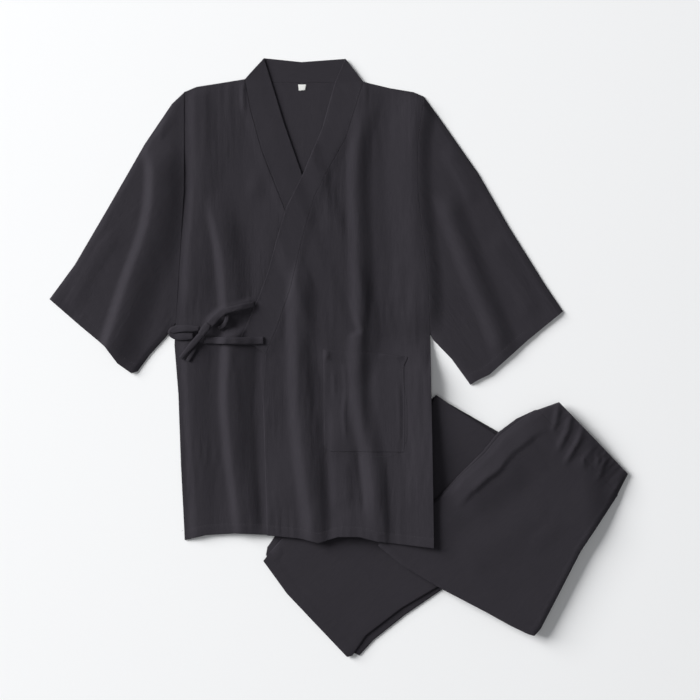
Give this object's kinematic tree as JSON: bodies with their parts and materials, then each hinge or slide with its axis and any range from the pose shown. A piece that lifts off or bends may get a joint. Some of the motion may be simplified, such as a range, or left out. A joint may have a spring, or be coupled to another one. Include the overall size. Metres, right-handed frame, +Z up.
{
  "type": "kimono pajama set",
  "caption": "Charcoal gauze kimono pajama set laid flat: crossed jacket tied at the waist over trousers folded in three, with gathered waistband",
  "frame": {"origin": "centre of the set's outline, on the surface it lies on", "axes": "+Z up from the surface, +Y towards the jacket's neck, +X towards the wearer's left sleeve"},
  "size_m": [0.8974, 0.9286, 0.0248],
  "materials": {
    "cotton_gauze": "matte",
    "label_tape": "matte"
  },
  "bodies": {
    "root": {"jacket_back": "cotton_gauze", "jacket_front_right": "cotton_gauze", "jacket_front_left": "cotton_gauze", "jacket_sleeve_right": "cotton_gauze", "jacket_sleeve_left": "cotton_gauze", "jacket_collar_back": "cotton_gauze", "jacket_collar_right": "cotton_gauze", "jacket_collar_left": "cotton_gauze", "jacket_pocket": "cotton_gauze", "jacket_neck_label": "label_tape", "tie_inner_strap": "cotton_gauze", "tie_outer_strap": "cotton_gauze", "tie_short_end": "cotton_gauze", "tie_knot": "cotton_gauze", "tie_loop": "cotton_gauze", "tie_tail_upper": "cotton_gauze", "tie_tail_lower": "cotton_gauze", "trousers_leg_right_end": "cotton_gauze", "trousers_leg_left_end": "cotton_gauze", "trousers_folded_layers": "cotton_gauze", "trousers_seat_right": "cotton_gauze", "trousers_seat_left": "cotton_gauze", "trousers_waistband": "cotton_gauze"}
  },
  "joints": []
}
